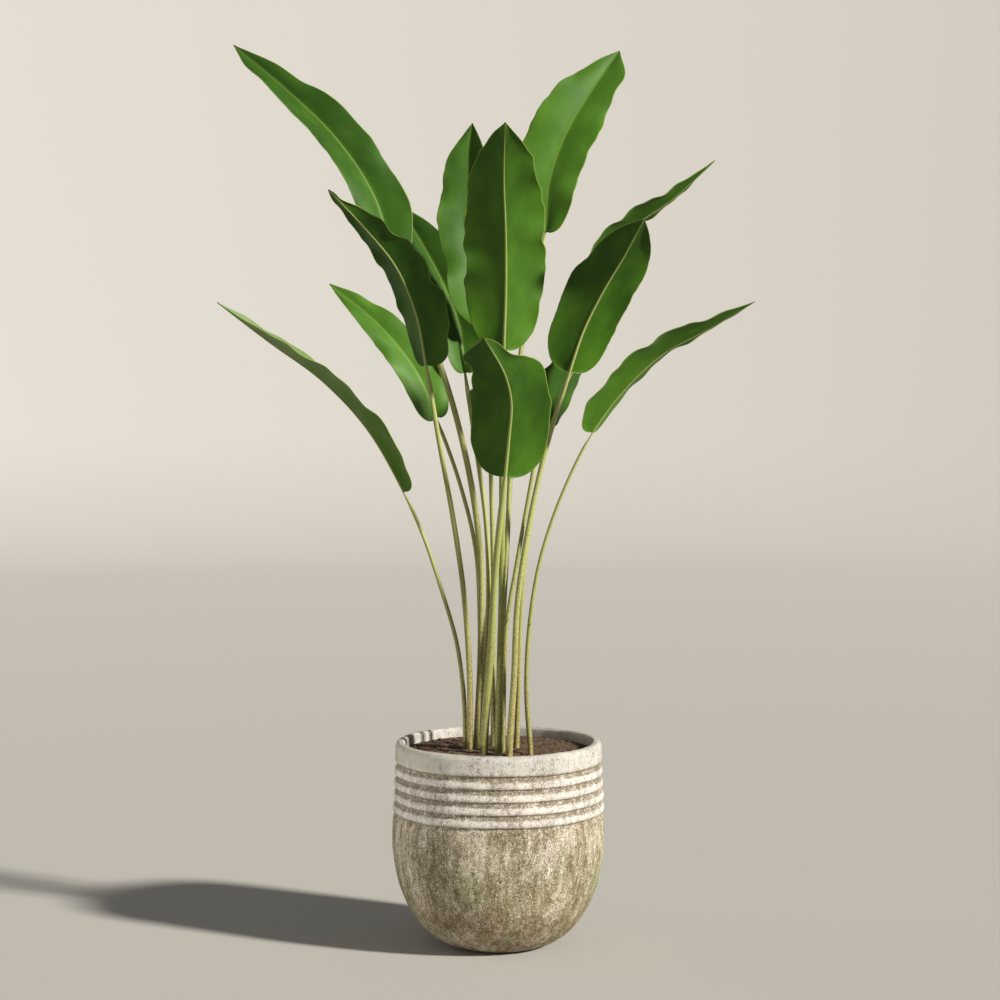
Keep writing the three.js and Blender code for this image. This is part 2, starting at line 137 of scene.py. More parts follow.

# Each leaf, as in the part's source: the foot's place on the soil, points along the stalk,
# the blade's base and points along its midrib to the tip. `half` is the widest half-width.
# `turn` is the angle of the upper face about the midrib, from facing the front, at the base
# and at the tip. `fold` lifts each half of the blade towards the upper face. `radius` is
# the stalk's, at the top and at the foot. `waves` is the number of undulations, `swell`
# their height. `flares` are single bulges of the margin: side, place, height and spread.
# `tone` is the green: 0 is dark, 1 light and 2 pale, and it carries painted light as well:
# top_left, back_centre, back_left, front_right and inner_right are darker for the shade they lie
# in, and far_left's pale tone is painted sheen. `darkening` is how far it falls from the base to
# the tip, DARKENING where none is given; that fall is painted shade, and far_left's rise is
# painted sheen.
LEAVES = {
    "top_left": dict(
        foot=(-37, -5), radius=(4.5, 6.2),
        stalk=((-30, -6, 501), (-31, -10, 672), (-55, -16, 835), (-101, -22, 999)),
        base=(-173, -18, 1162), blade=((-209, 8, 1272), (-274, 42, 1369), (-360, 86, 1453)),
        tip=(-455, 140, 1533), half=49, widest=0.22, taper=2.4, turn=(24, 30), fold=20,
        waves=2.5, swell=5, phase=4.2, tone=0.1,
        flares=((-1, 0.45, -10, 0.22), (-1, 0.91, 7, 0.06))),
    "top_right": dict(
        foot=(-2, -20), radius=(3.8, 5.2),
        stalk=((6, -24, 525), (15, -12, 697), (24, 20, 868), (43, 64, 1040)),
        base=(80, 110, 1213), blade=((88, 140, 1299), (116, 170, 1381), (161, 205, 1457)),
        tip=(212, 240, 1531), half=61, widest=0.54, taper=1.8, turn=(-14, -10), fold=12,
        waves=2.7, swell=5, phase=4.3, tone=0.8,
        flares=((1, 0.9, 15, 0.07), (1, 0.5, -7, 0.35), (-1, 0.4, 6, 0.12))),
    "front_centre": dict(
        foot=(-1, -66), radius=(4.4, 6.4),
        stalk=((3, -69, 502), (6, -68, 641), (6, -86, 801)),
        base=(9, -150, 1017), blade=((12, -160, 1110), (12, -177, 1203), (9, -214, 1293)),
        tip=(11, -290, 1379), half=70, widest=0.39, taper=2.6, turn=(188, 176), fold=21,
        waves=4.1, swell=5, phase=0.8, tone=0.5),
    "back_centre": dict(
        foot=(-9, 20), radius=(3.6, 4.8),
        stalk=((-9, 24, 490), (-9, 30, 650), (-14, 38, 850)),
        base=(-19, 50, 1055), blade=((-37, 66, 1141), (-55, 78, 1228), (-50, 80, 1314)),
        tip=(-44, 74, 1397), half=50, widest=0.24, taper=4.2, turn=(4, -10), fold=20,
        waves=3.5, swell=4, phase=4.2, tone=0.4,
        flares=((-1, 0.15, 9, 0.08), (-1, 0.82, 5, 0.08))),
    "front_left": dict(
        foot=(-48, -15), radius=(3.8, 5.5),
        stalk=((-49, -18, 470), (-58, -25, 601), (-76, -35, 731), (-99, -46, 861)),
        base=(-120, -60, 989), blade=((-136, -74, 1074), (-168, -96, 1152), (-220, -130, 1218)),
        tip=(-275, -172, 1277), half=54, widest=0.28, taper=1.5, turn=(138, 145), fold=22,
        waves=4.1, swell=5, phase=2.1, tone=0.15,
        flares=((-1, 0.93, -4, 0.05), (1, 0.93, 6, 0.06))),
    "back_left": dict(
        foot=(-32, 30), radius=(3.8, 5),
        stalk=((-26, 33, 458), (-17, 39, 587), (-21, 48, 716), (-38, 58, 844)),
        base=(-57, 70, 973), blade=((-67, 95, 1052), (-94, 120, 1122), (-130, 150, 1190)),
        tip=(-174, 180, 1262), half=49, widest=0.48, taper=2.1, turn=(20, 18), fold=22,
        waves=2.7, swell=4, phase=0, tone=0.2),
    "low_back_left": dict(
        foot=(-35, 60), radius=(3.2, 4.6),
        stalk=((-33, 60, 428), (-32, 61, 545), (-39, 61, 670), (-67, 60, 787)),
        base=(-106, 60, 896), blade=((-135, 64, 966), (-179, 72, 1027), (-232, 84, 1079)),
        tip=(-290, 100, 1124), half=36.5, widest=0.23, taper=2.6, turn=(26, 28), fold=8,
        waves=2.7, swell=4, phase=3.1, tone=0.85),
    # far_left: its pale tone, rising towards the tip, is painted sheen.
    "far_left": dict(
        foot=(-56, 0), radius=(2.9, 4.3),
        stalk=((-59, -2, 429), (-71, -7, 519), (-96, -13, 608), (-125, -21, 697)),
        base=(-159, -29, 776), blade=((-219, -40, 882), (-293, -50, 963), (-380, -65, 1028)),
        tip=(-466, -80, 1094), half=45, widest=0.3, taper=2.5, turn=(110, 82), fold=26,
        waves=3.9, swell=2.5, phase=3, tone=1.6, darkening=-1.1),
    "front_low": dict(
        foot=(-25, -55), radius=(5, 7.6),
        stalk=((-19, -64, 434), (-12, -82, 529), (-7, -103, 624), (1, -128, 717)),
        base=(11, -155, 810), blade=((17, -180, 873), (21, -212, 931), (11, -262, 980)),
        tip=(-22, -335, 1041), half=70, widest=0.3, taper=2.6, turn=(180, 180), fold=22,
        waves=2.1, swell=5, phase=7.5, tone=0.3,
        flares=((1, 0.89, 22, 0.075), (-1, 0.78, -18, 0.13))),
    "front_right": dict(
        foot=(18, -80), radius=(4, 6),
        stalk=((26, -84, 467), (32, -86, 596), (51, -86, 725), (79, -90, 853)),
        base=(117, -134, 982), blade=((139, -144, 1048), (169, -160, 1110), (203, -190, 1169)),
        tip=(233, -238, 1228), half=57, widest=0.32, taper=3.3, turn=(190, 190), fold=22,
        waves=1.8, swell=5, phase=7.8, tone=0.25),
    "back_right": dict(
        foot=(8, -46), radius=(3.2, 3.9),
        stalk=((10, -40, 468), (15, -32, 560), (30, -26, 649), (49, -18, 757), (80, -8, 910)),
        base=(145, 6, 1090), blade=((181, -5, 1173), (225, -20, 1220), (288, -40, 1264)),
        tip=(359, -60, 1328), half=37, widest=0.4, taper=1.7, turn=(238, 248), fold=17,
        waves=4.4, swell=2.5, phase=3, tone=0.4),
    "far_right": dict(
        foot=(54, -60), radius=(2.3, 4.9),
        stalk=((47, -64, 447), (52, -72, 556), (69, -82, 664), (104, -95, 773)),
        base=(155, -110, 880), blade=((206, -130, 951), (269, -150, 1011), (343, -175, 1053)),
        tip=(414, -200, 1096), half=48, widest=0.24, taper=2.3, turn=(240, 247), fold=17,
        waves=3.8, swell=2.5, phase=3.8, tone=0.6),
    "inner_right": dict(
        foot=(31, 0), radius=(3, 5),
        stalk=((34, -6, 448), (37, -16, 558), (45, -26, 661), (60, -38, 758)),
        base=(87, -52, 890), blade=((102, -47, 932), (122, -42, 975), (148, -37, 1026)),
        tip=(177, -32, 1078), half=50, widest=0.4, taper=1.7, turn=(228, 228), fold=20,
        waves=3, swell=4, phase=1.2, tone=0.0),
}


# -------------------------------------------------------------------------------- helpers
def mix(a, b, share):
    """The value at `share` of the way from a to b."""
    return a + (b - a) * share


def clamp(value, low=0.0, high=1.0):
    return max(low, min(high, value))


def smooth_step(value, low, high):
    """0 up to `low`, 1 from `high` on, and eased between them."""
    share = clamp((value - low) / (high - low))
    return share * share * (3 - 2 * share)


def paint(red, green, blue):
    """A linear colour from the 0 to 255 values of a paint chart."""
    def linear(value):
        value /= 255
        return value / 12.92 if value <= 0.04045 else ((value + 0.055) / 1.055) ** 2.4
    return (linear(red), linear(green), linear(blue), 1.0)


def draw_outline(bm, outline):
    """A half section of radii and heights, drawn as a chain of edges."""
    verts = [bm.verts.new((radius, 0, height)) for radius, height in outline]
    for pair in zip(verts, verts[1:]):
        bm.edges.new(pair)
    return verts


def turn_round(bm, steps, weld=0.01):
    """Turns the drawn outline once round the upright axis into a closed surface."""
    bmesh.ops.spin(bm, geom=bm.verts[:] + bm.edges[:], cent=(0, 0, 0), axis=(0, 0, 1),
                   angle=2 * math.pi, steps=steps, use_merge=True)
    bmesh.ops.remove_doubles(bm, verts=bm.verts, dist=weld)
    bmesh.ops.recalc_face_normals(bm, faces=bm.faces)


def piece_from(bm, name, *finishes):
    """An object made of the finished mesh, with its materials."""
    mesh = bpy.data.meshes.new(name)
    bm.to_mesh(mesh)
    bm.free()
    for finish in finishes:
        mesh.materials.append(finish)
    for face in mesh.polygons:
        face.use_smooth = True
    piece = bpy.data.objects.new(name, mesh)
    bpy.context.scene.collection.objects.link(piece)
    return piece


# ------------------------------------------------------------------------------ finishes
class Finish:
    """A material being mixed. Each step adds one shader node and gives back its output."""

    def __init__(self, name):
        self.material = bpy.data.materials.new(name)
        self.material.use_nodes = True
        self.nodes = self.material.node_tree.nodes
        self.links = self.material.node_tree.links
        self.shader = self.nodes["Principled BSDF"]

    def feed(self, socket, value):
        """Links another step's output to the socket, or sets the socket's value."""
        if isinstance(value, bpy.types.NodeSocket):
            self.links.new(value, socket)
        else:
            socket.default_value = value

    def step(self, kind, output, settings, **inputs):
        node = self.nodes.new(kind)
        for name, value in settings.items():
            setattr(node, name, value)
        for name, value in inputs.items():
            self.feed(node.inputs[name.replace("_", " ")], value)
        return node.outputs[output]

    def own(self, name, output="Fac"):
        """An attribute that the mesh carries."""
        return self.step("ShaderNodeAttribute", output, {"attribute_name": name})

    def place(self):
        return self.step("ShaderNodeTexCoord", "Object", {})

    def stretched(self, place, scale):
        return self.step("ShaderNodeMapping", "Vector", {}, Vector=place, Scale=scale)

    def grain(self, place, scale, detail, roughness=0.55):
        """Cloudy noise from 0 to 1, most of it near 0.5."""
        return self.step("ShaderNodeTexNoise", "Fac", {}, Vector=place, Scale=scale,
                         Detail=detail, Roughness=roughness)

    def spot(self, place, centre, reach):
        """1 at a point of the surface, easing to 0 at `reach` from it."""
        away = self.step("ShaderNodeVectorMath", "Value", {"operation": "DISTANCE"}, Vector=place)
        self.feed(self.nodes[-1].inputs[1], centre)
        return self.between(away, reach, reach * 0.2)

    def reckon(self, operation, *values):
        """One step of arithmetic."""
        node = self.nodes.new("ShaderNodeMath")
        node.operation = operation
        for socket, value in zip(node.inputs, values):
            self.feed(socket, value)
        return node.outputs[0]

    def times(self, a, b):
        return self.reckon("MULTIPLY", a, b)

    def plus(self, a, b):
        return self.reckon("ADD", a, b)

    def minus(self, a, b):
        return self.reckon("SUBTRACT", a, b)

    def between(self, value, low, high, bottom=0.0, top=1.0):
        """Value eased from `bottom` at `low` to `top` at `high`."""
        return self.step("ShaderNodeMapRange", "Result", {"interpolation_type": "SMOOTHSTEP"},
                         Value=value, From_Min=low, From_Max=high, To_Min=bottom, To_Max=top)

    def ramp(self, value, *stops):
        node = self.nodes.new("ShaderNodeValToRGB")
        while len(node.color_ramp.elements) < len(stops):
            node.color_ramp.elements.new(1.0)
        for element, (place, colour) in zip(node.color_ramp.elements, stops):
            element.position = place
            element.color = colour
        self.feed(node.inputs["Fac"], value)
        return node.outputs["Color"]

    def blend(self, share, under, over):
        """The colour `under`, covered by `over` as far as `share` says."""
        node = self.nodes.new("ShaderNodeMix")
        node.data_type = "RGBA"
        colours = [socket for socket in node.inputs if socket.type == "RGBA"]
        self.feed(node.inputs["Factor"], share)
        self.feed(colours[0], under)
        self.feed(colours[1], over)
        return next(socket for socket in node.outputs if socket.type == "RGBA")

    def relief(self, height, depth, strength):
        """Bump from a height of 0 to 1, `depth` in metres."""
        return self.step("ShaderNodeBump", "Normal", {}, Height=height, Distance=depth,
                         Strength=strength)

    def finished(self, **surface):
        for name, value in surface.items():
            self.feed(self.shader.inputs[name.replace("_", " ")], value)
        return self.material


# Where the pot's larger marks are, in metres.
BLOOM_PLACE = (0.06, -0.17, 0.185)
MOSS_PLACES = ((-0.05, -0.16, 0.13), (0.17, -0.05, 0.11))
RUST_PLACES = ((0.055, -0.14, 0.072), (-0.005, -0.15, 0.064))
# The dark patch on the belly's left is painted shade.
LEFT_SHADE_PLACE = (-0.11, -0.14, 0.2)
FALL = 0.25  # heights shrink to this in a space where marks are drawn out downwards


def weathered_stone():
    """Cast stone: a greyish rim and whiter ring lips above a darker belly that is mottled with
    pale flecks, dark pits, olive and rust, all drawn downwards in streaks. Painted shade darkens
    the grooves under the lips and the belly's left."""
    finish = Finish("weathered_cast_stone")
    # Heights and reaches on the pot are metres here.
    place = finish.place()
    height = finish.step("ShaderNodeSeparateXYZ", "Z", {}, Vector=place)
    fall = finish.stretched(place, (1, 1, FALL))
    patches = finish.grain(place, 13, 3)
    streaks = finish.grain(fall, 42, 5, 0.6)
    runs = finish.grain(finish.stretched(place, (1, 1, 0.26)), 110, 4, 0.7)
    grit = finish.grain(finish.stretched(place, (1, 1, 0.75)), 560, 3, 0.75)
    dust = finish.grain(place, 140, 4, 0.65)

    # Rim and rings, their whiter lips, and the browner belly, darkest low down.
    level = MM * LOWEST_LIP
    on_belly = finish.between(height, level + 0.004, level - 0.012)
    tone = finish.ramp(patches, (0.36, paint(160, 154, 138)), (0.5, paint(172, 168, 160)),
                       (0.64, paint(176, 170, 162)))
    lips = finish.between(height, MM * RIM_LIP - 0.002, MM * RIM_LIP - 0.006)
    tone = finish.blend(lips, tone, paint(190, 183, 174))
    worn = finish.ramp(streaks, (0.36, paint(178, 168, 148)), (0.5, paint(164, 153, 126)),
                       (0.64, paint(140, 126, 96)))
    tone = finish.blend(on_belly, tone, worn)
    low_down = finish.between(height, 0.2, 0.03, 0, 0.75)
    tone = finish.blend(low_down, tone, paint(146, 130, 96))
    bloom = finish.spot(place, BLOOM_PLACE, 0.07)
    tone = finish.blend(finish.times(bloom, 0.6), tone, paint(176, 163, 152))

    # Moss, rust near the foot, and painted shade on the belly's left: a dark patch drawn in
    # streaks like soot, for the side that lies in shade.
    moss = finish.between(finish.grain(fall, 14, 3, 0.5), 0.48, 0.62, 0, 0.6)
    for centre in MOSS_PLACES:
        moss = finish.plus(moss, finish.times(finish.spot(place, centre, 0.06), 0.7))
    moss = finish.times(moss, finish.between(height, 0.235, 0.15, 0.1, 0.8))
    tone = finish.blend(moss, tone, paint(132, 134, 88))
    rust = finish.between(finish.grain(fall, 12, 2, 0.5), 0.56, 0.68, 0, 0.5)
    for x, y, z in RUST_PLACES:
        rust = finish.plus(rust, finish.spot(fall, (x, y, z * FALL), 0.03))
    rust = finish.times(rust, finish.between(height, 0.18, 0.08, 0, 0.5))
    tone = finish.blend(rust, tone, paint(136, 104, 70))
    left_shade = finish.spot(place, LEFT_SHADE_PLACE, 0.09)
    left_shade = finish.times(left_shade, finish.between(runs, 0.35, 0.6, 0.3, 1.0))
    tone = finish.blend(finish.times(left_shade, on_belly), tone, paint(120, 108, 86))

    # Dirt and painted shade under the lowest ring and in the grooves between the rings, where each
    # lip's shadow falls.
    under_ring = finish.between(height, level - 0.02, level - 0.006, 0, 0.75)
    under_ring = finish.times(under_ring, finish.between(dust, 0.35, 0.6, 0.2, 1.0))
    tone = finish.blend(finish.times(under_ring, on_belly), tone, paint(118, 103, 74))
    recess = finish.own("recess")
    clinging = finish.plus(grit, finish.times(dust, 0.5))
    grime_and_shade = finish.times(recess, finish.between(clinging, 0.6, 0.86, 0.35, 1.0))
    tone = finish.blend(grime_and_shade, tone, paint(108, 96, 70))

    # Pale flecks where the mixed grains are low, dark specks and pits where they are high.
    crowding = grit
    for part, weight in ((streaks, 0.3), (runs, 0.4), (dust, 0.3), (patches, 0.2),
                         (recess, 0.08), (on_belly, 0.05)):
        crowding = finish.plus(crowding, finish.times(part, weight))
    crowding = finish.plus(crowding, finish.between(height, 0.335, 0.3, -0.04, 0.0))
    flecks = finish.between(crowding, 1.1, 1.01, 0, 0.85)
    flecks = finish.times(flecks, finish.between(height, 0.325, 0.31, 0.3, 1.0))
    tone = finish.blend(flecks, tone, paint(204, 197, 184))
    specks = finish.between(crowding, 1.1, 1.22, 0, 0.7)
    tone = finish.blend(specks, tone, paint(112, 101, 76))
    pits = finish.between(crowding, 1.2, 1.29, 0, 0.8)
    pits = finish.times(pits, finish.plus(0.35, finish.times(on_belly, 0.65)))
    tone = finish.blend(pits, tone, paint(66, 58, 41))

    rough = finish.minus(finish.times(grit, 0.6), finish.times(specks, 0.5))
    return finish.finished(Base_Color=tone, Roughness=0.88, Specular_IOR_Level=0.25,
                           Normal=finish.relief(rough, 0.0013, 0.8))


def dark_soil():
    finish = Finish("dark_potting_soil")
    place = finish.place()
    fine = finish.grain(place, 520, 5, 0.65)
    coarse = finish.grain(place, 95, 4, 0.6)
    tone = finish.ramp(coarse, (0.3, paint(64, 49, 37)), (0.52, paint(92, 73, 57)),
                       (0.72, paint(104, 86, 68)))
    tone = finish.blend(finish.between(fine, 0.58, 0.74), tone, paint(126, 106, 88))
    tone = finish.blend(finish.between(fine, 0.42, 0.3), tone, paint(32, 24, 18))
    return finish.finished(Base_Color=tone, Roughness=0.92, Specular_IOR_Level=0.25,
                           Normal=finish.relief(fine, 0.0012, 0.9))


VEIN_LEAN = 0.42  # how far a side vein runs towards the tip for each millimetre outwards
VEIN_PITCH = 7.5  # along the midrib
FINE_VEIN_PITCH = 1.9


def leaf_green(name, dark, light, pale, edge, line):
    """Satin leaf: side veins lean from the midrib to a thin pale margin."""
    finish = Finish(name)
    own = finish.own("leaf_place", "Vector")
    side = finish.step("ShaderNodeSeparateXYZ", "X", {}, Vector=own)
    length = finish.step("ShaderNodeSeparateXYZ", "Y", {}, Vector=own)
    away = finish.reckon("ABSOLUTE", side)
    tone = finish.own("tone")

    climb = finish.minus(length, finish.times(away, VEIN_LEAN))
    wobble = finish.times(finish.grain(finish.stretched(own, (0.02, 0.02, 1)), 1.0, 2), 6)
    lane = finish.plus(climb, wobble)
    main = finish.reckon("SINE", finish.times(lane, 2 * math.pi / VEIN_PITCH))
    thin = finish.reckon("SINE", finish.times(lane, 2 * math.pi / FINE_VEIN_PITCH))
    main_vein = finish.between(main, 0.55, 1.0)
    thin_vein = finish.between(thin, 0.3, 1.0)

    blotch = finish.grain(finish.stretched(own, (0.022, 0.012, 1)), 1.0, 3, 0.5)
    # The tone holds each leaf's own green, painted shade for shaded leaves and tips, and painted
    # sheen in the pale stop.
    mixed = finish.plus(finish.between(blotch, 0.35, 0.65, -0.22, 0.22), tone)
    base = finish.ramp(finish.times(mixed, 0.5), (0.0, dark), (0.5, light), (1.0, pale))
    base = finish.blend(finish.times(main_vein, 0.035), base, edge)
    base = finish.blend(finish.times(thin_vein, 0.02), base, edge)

    rib_zone = finish.between(away, 5.0, 1.0)
    base = finish.blend(finish.times(rib_zone, 0.12), base, edge)
    rib = finish.between(finish.reckon("DIVIDE", away, finish.own("line_width")), 1.0, 0.35)
    base = finish.blend(rib, base, line)
    margin = finish.between(finish.own("margin"), 1.5, 0.7, 0, 0.8)
    base = finish.blend(margin, base, edge)
    base = finish.blend(finish.times(finish.own("dry_tip"), 0.8), base, paint(84, 70, 34))

    height = finish.plus(finish.times(main, 0.5), finish.times(thin, 0.16))
    return finish.finished(Base_Color=base, Roughness=0.5, Specular_IOR_Level=0.14,
                           Normal=finish.relief(height, 0.00004, 0.35))


def speckled_stalk():
    """Yellow-green petiole with fine dark specks, densest near the foot. Along the blade it
    is the raised midrib, which turns as green as the leaf."""
    finish = Finish("speckled_stalk")
    own = finish.own("stalk_place", "Vector")
    height = finish.own("rise")
    tone = finish.own("tone")
    body = finish.ramp(finish.times(height, 0.5),
                       (0.0, paint(158, 148, 92)), (0.2, paint(154, 154, 92)),
                       (0.49, paint(160, 164, 100)), (0.62, paint(144, 158, 84)),
                       (0.88, paint(102, 126, 54)))
    body = finish.blend(finish.times(tone, 0.6), body, paint(112, 130, 50))
    lines = finish.grain(finish.stretched(own, (0.9, 0.9, 0.02)), 1.0, 3)
    body = finish.blend(finish.between(lines, 0.5, 0.72, 0, 0.4), body, paint(158, 156, 108))
    low_down = finish.between(height, 0.55, 0.0)
    clouds = finish.grain(finish.stretched(own, (0.12, 0.12, 0.016)), 1.0, 3)
    clouds = finish.times(finish.between(clouds, 0.45, 0.65), finish.times(low_down, 0.6))
    body = finish.blend(clouds, body, paint(150, 122, 84))
    speck = finish.grain(finish.stretched(own, (0.75, 0.75, 0.4)), 1.0, 2, 0.65)
    dense = finish.between(height, 0.0, 1.0, 0.52, 0.65)
    spots = finish.between(finish.minus(speck, dense), 0.0, 0.05)
    body = finish.blend(finish.times(spots, 0.85), body, paint(70, 60, 32))
    return finish.finished(Base_Color=body, Roughness=0.5, Specular_IOR_Level=0.3,
                           Normal=finish.relief(lines, 0.0003, 0.4))


def plain_studio():
    """Matt grey floor that grows paler away from the pot."""
    finish = Finish("plain_backdrop")
    away = finish.step("ShaderNodeVectorMath", "Value", {"operation": "LENGTH"},
                       Vector=finish.place())
    tone = finish.ramp(finish.between(away, 1.0, 9.0), (0.0, paint(174, 170, 162)),
                       (1.0, paint(182, 178, 171)))
    return finish.finished(Base_Color=tone, Roughness=0.9, Specular_IOR_Level=0.1)


# ---------------------------------------------------------------------- camera and studio
CAMERA_PLACE = (0.0027, -4.89, 1.14)
CAMERA_TILT = 4.44  # degrees downwards
LAMP_PLACE = Vector((-2.5, -1.5, 0.27))
LAMP_TARGET = Vector((0, 0, 0.27))


def stand_camera():
    """The photograph's viewpoint."""
    data = bpy.data.cameras.new("photo_camera")
    data.lens = 104.4
    data.sensor_width = 36
    camera = bpy.data.objects.new("photo_camera", data)
    camera.location = CAMERA_PLACE
    camera.rotation_euler = (math.radians(90 - CAMERA_TILT), 0, 0)
    bpy.context.scene.collection.objects.link(camera)
    bpy.context.scene.camera = camera


def lay_backdrop():
    """A wide shallow dish: a flat floor that rises as an even slope on every side."""
    flat, bend, rim, slope, bend_steps = 6.2, 2.0, 18.0, math.radians(24), 10
    outline = [(0, 0), (flat, 0)]
    reach = bend / math.sin(slope)
    for step in range(1, bend_steps + 1):
        angle = slope * step / bend_steps
        outline.append((flat + reach * math.sin(angle), reach * (1 - math.cos(angle))))
    end, rise = outline[-1]
    outline.append((rim, rise + (rim - end) * math.tan(slope)))
    bm = bmesh.new()
    draw_outline(bm, outline)
    turn_round(bm, steps=128, weld=1e-5)
    piece_from(bm, "backdrop", plain_studio())


def sun_from(name, azimuth, elevation, strength, width, colour):
    """A soft distant light. Azimuth is from the front towards the right. All three angles
    are in degrees."""
    data = bpy.data.lights.new(name, "SUN")
    data.energy = strength
    data.angle = math.radians(width)
    data.color = colour
    light = bpy.data.objects.new(name, data)
    turn = math.radians(azimuth)
    rise = math.radians(elevation)
    level = math.cos(rise)
    towards = Vector((math.sin(turn) * level, -math.cos(turn) * level, math.sin(rise)))
    light.rotation_euler = towards.to_track_quat("Z", "Y").to_euler()
    bpy.context.scene.collection.objects.link(light)


def lift_pot():
    """A narrow soft lamp from the low left that lifts the pot's dark side alone."""
    data = bpy.data.lights.new("pot_lamp", "SPOT")
    data.energy = 270
    data.spot_size = math.radians(10)
    data.spot_blend = 1
    data.shadow_soft_size = 0.2
    lamp = bpy.data.objects.new("pot_lamp", data)
    lamp.location = LAMP_PLACE
    lamp.rotation_euler = (LAMP_PLACE - LAMP_TARGET).to_track_quat("Z", "Y").to_euler()
    bpy.context.scene.collection.objects.link(lamp)


def light_studio():
    sun_from("key_light", azimuth=60, elevation=27, strength=6.9, width=5,
             colour=(1.0, 0.972, 0.935))
    sun_from("fill_light", azimuth=-100, elevation=8, strength=0.7, width=60,
             colour=(1.0, 0.99, 0.97))
    lift_pot()
    world = bpy.data.worlds.new("soft_room")
    bpy.context.scene.world = world
    world.use_nodes = True
    sky = world.node_tree.nodes["Background"]
    sky.inputs["Color"].default_value = (0.93, 0.96, 1.0, 1.0)
    sky.inputs["Strength"].default_value = 0.2
    bpy.context.scene.view_settings.view_transform = "Standard"


# -------------------------------------------------------------------------------- the pot
def bowl(centre_radius, bulge, floor, rise, start, end, steps):
    """Points of an ellipse that runs from the floor outwards and up, between two angles in
    degrees: 0 is on the floor and 90 the widest place."""
    for step in range(steps + 1):
        angle = math.radians(mix(start, end, step / steps))
        yield (centre_radius + bulge * math.sin(angle), floor + rise * (1 - math.cos(angle)))


def pot_outline():
    """Half the pot's section, from the middle of the foot to the middle of the inner floor."""
    outline = [(0, 0), (FOOT_RADIUS, 0)]
    outline += bowl(BELLY_CENTRE_RADIUS, BELLY_BULGE, 0, BELLY_RISE, start=9, end=102, steps=40)
    for ring in range(RING_COUNT):
        lip = LOWEST_LIP_RADIUS - ring * LIP_STEP
        level = LOWEST_LIP + ring * RING_PITCH
        outline += [(lip + out, level + up) for out, up in RING_STEPS]
    outline += [(RIM_LIP_RADIUS + out, RIM_LIP + up) for out, up in RIM_STEPS]
    outline += [
        (RIM_LIP_RADIUS - 4, POT_HEIGHT - 2.2), (RIM_LIP_RADIUS - 8, POT_HEIGHT),
        (MOUTH_RADIUS + 4, POT_HEIGHT), (MOUTH_RADIUS + 0.5, POT_HEIGHT - 3.5),
        (MOUTH_RADIUS, POT_HEIGHT - 9), (MOUTH_RADIUS, BELLY_RISE),
    ]
    inside = bowl(FLOOR_RADIUS, MOUTH_RADIUS - FLOOR_RADIUS, FLOOR_HEIGHT,
                  BELLY_RISE - FLOOR_HEIGHT, start=0, end=90, steps=8)
    return outline + list(inside)[-2::-1] + [(0, FLOOR_HEIGHT)]


def groove_depth(radius, height):
    """From 0 on a lip to 1 in the groove under the next lip."""
    below_lips, spare = 9, 6
    if (height < LOWEST_LIP - below_lips or height > RIM_LIP + spare
            or radius < MOUTH_RADIUS + spare):
        return 0.0
    level = (height - LOWEST_LIP) / RING_PITCH
    lip = LOWEST_LIP_RADIUS - max(0, level) * LIP_STEP
    near = clamp(1 - (LOWEST_LIP - height) / below_lips) if level < 0 else 1.0
    return smooth_step(lip - radius, 0.5, 3.6) * near


def weathering(place):
    """How far the stone's surface stands out of its true form, in millimetres."""
    broad = noise.noise(place * 0.011) * 1.1
    lumps = noise.noise(place * 0.045) * 0.55
    worn = noise.fractal(place * 0.13, 1.0, 2.1, 3) * 0.34
    return broad + lumps + worn


def make_pot(stone):
    """The planter. Its foot stays flat, and its wall below the soil keeps its true form."""
    bm = bmesh.new()
    corners = [v for v in draw_outline(bm, pot_outline())
               if v.co.x > MOUTH_RADIUS - 1 and v.co.z > LOWEST_LIP - 4]
    bmesh.ops.bevel(bm, geom=corners, offset=WORN_CORNER, segments=2, profile=0.5,
                    affect="VERTICES", material=-1, offset_type="OFFSET", clamp_overlap=True)
    for _ in range(HALVINGS):
        outside = [e for e in bm.edges if min(v.co.x for v in e.verts) > FOOT_RADIUS - 1]
        long_edges = [e for e in outside if e.calc_length() > LONGEST_STEP]
        bmesh.ops.subdivide_edges(bm, edges=long_edges, cuts=1)
    turn_round(bm, POT_STEPS)
    # How deep in a groove each point lies; the stone's finish paints dirt and shade there.
    recess = bm.verts.layers.float.new("recess")
    bm.normal_update()
    moves = []
    for vert in bm.verts:
        radius = math.hypot(vert.co.x, vert.co.y)
        vert[recess] = groove_depth(radius, vert.co.z)
        standing = smooth_step(vert.co.z, 1, 14)
        hidden = radius < MOUTH_RADIUS + 1 and FLOOR_HEIGHT - 2 < vert.co.z < SOIL_EDGE - 12
        moves.append(vert.normal * (0 if hidden else weathering(vert.co) * standing))
    for vert, move in zip(bm.verts, moves):
        vert.co += move
    bmesh.ops.scale(bm, vec=(MM, MM, MM), verts=bm.verts)
    pot = piece_from(bm, "stone_planter", stone)
    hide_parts("pot")
    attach(pot, "root")


# ------------------------------------------------------------------------------- the soil
def soil_height(x, y):
    """The soil's surface as the solid has it: mounded and lumpy, level at the wall."""
    spread = min(1, math.hypot(x, y) / MOUTH_RADIUS)
    mound = SOIL_MOUND * (1 - spread * spread)
    lumps = math.sin(x * 0.071 + 1) * math.sin(y * 0.083) + math.sin(x * 0.12 - y * 0.1)
    return SOIL_EDGE + mound + SOIL_LUMP * lumps * 0.5 * (1 - spread ** 6)


def crumble(x, y):
    """Fine unevenness of the soil's surface."""
    place = Vector((x, y, 0))
    return noise.fractal(place * 0.12, 1.0, 2.2, 3) * 1.7 + noise.noise(place * 0.45) * 0.7


